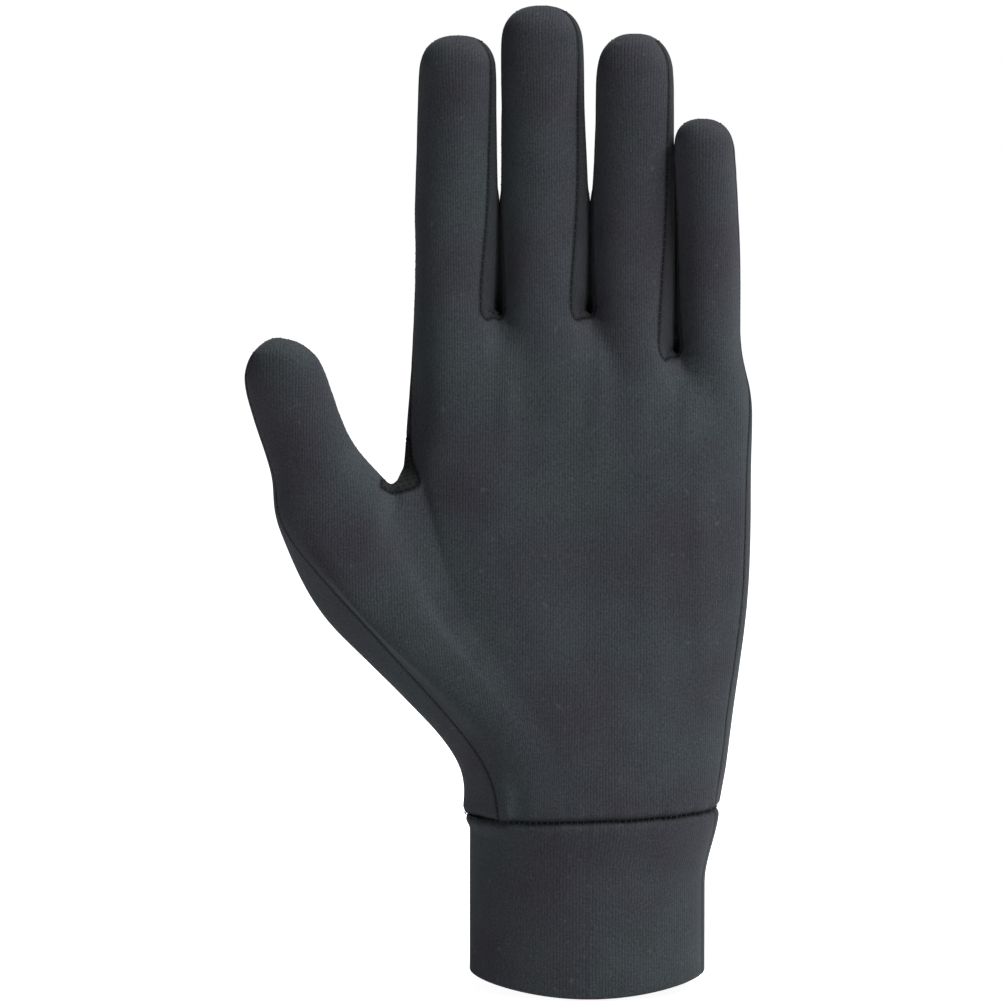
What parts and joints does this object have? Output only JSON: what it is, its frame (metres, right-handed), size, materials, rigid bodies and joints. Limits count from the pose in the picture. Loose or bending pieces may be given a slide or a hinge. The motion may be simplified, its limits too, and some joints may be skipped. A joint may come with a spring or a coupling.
{
  "type": "glove liner",
  "caption": "Thin charcoal stretch-jersey glove liner for the left hand, with a wide folded cuff, filled as if worn.",
  "frame": {"origin": "middle of the opening at the hem of the cuff", "axes": "+Z from the cuff to the fingertips, the palm faces -Y, the thumb lies towards -X"},
  "size_m": [0.1282, 0.0468, 0.2511],
  "materials": {
    "jersey_palm": "fine matt stretch jersey, wales along the fingers",
    "jersey_back": "fine matt stretch jersey",
    "jersey_sides": "fine matt stretch jersey",
    "mesh_knit": "coarser openwork knit with diagonal stitches",
    "jersey_cuff": "doubled fine jersey, folded at the hem"
  },
  "bodies": {
    "root": {"palm_panel": "jersey_palm", "back_panel": "jersey_back", "fourchette_index_middle": "jersey_sides", "fourchette_middle_ring": "jersey_sides", "fourchette_ring_little": "jersey_sides", "thumb_gusset": "mesh_knit", "cuff": "jersey_cuff"}
  },
  "joints": []
}
